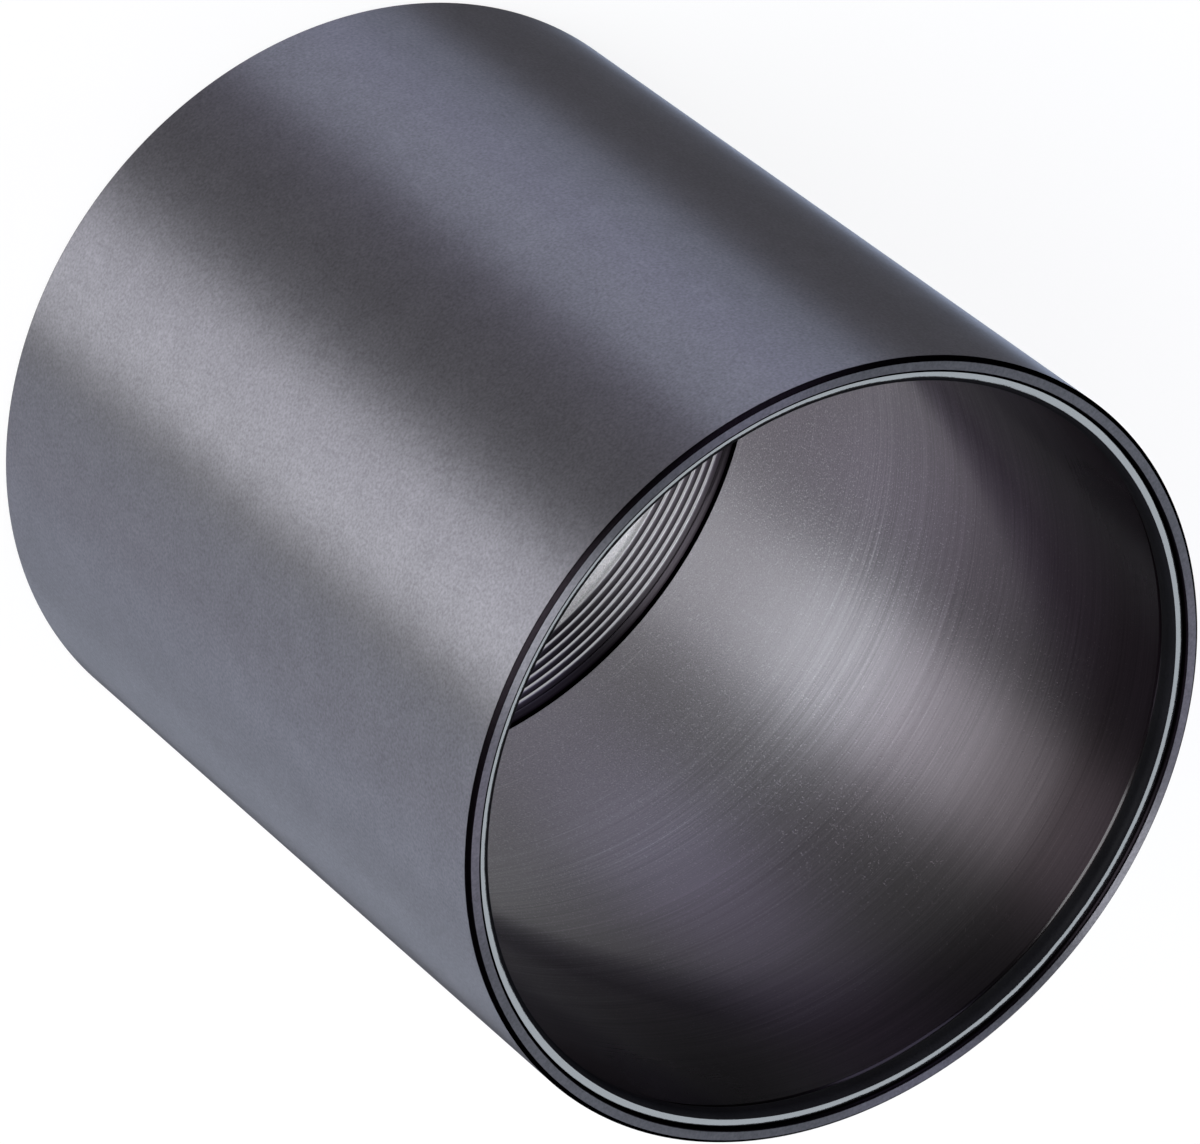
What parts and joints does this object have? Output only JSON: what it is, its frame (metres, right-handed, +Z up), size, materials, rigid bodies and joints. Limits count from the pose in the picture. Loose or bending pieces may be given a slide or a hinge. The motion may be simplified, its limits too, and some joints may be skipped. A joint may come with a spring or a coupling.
{
  "type": "lens cover",
  "caption": "Cylindrical metal cover that closes in a camera lens, with a sealing ring in its mouth and a fine internal thread at the far end.",
  "frame": {"origin": "centre of the threaded end face, on which the tube stands", "axes": "+Z up the tube's axis, from the threaded end to the mouth that holds the sealing ring; X and Y are any two radii at right angles"},
  "size_m": [0.0516, 0.0514, 0.057],
  "materials": {
    "anodised_aluminium": "black anodised over fine turning marks, satin",
    "seal_rubber": "smooth moulded, slightly oiled"
  },
  "bodies": {
    "root": {"cover_tube": "anodised_aluminium", "seal_ring": "seal_rubber"}
  },
  "joints": []
}
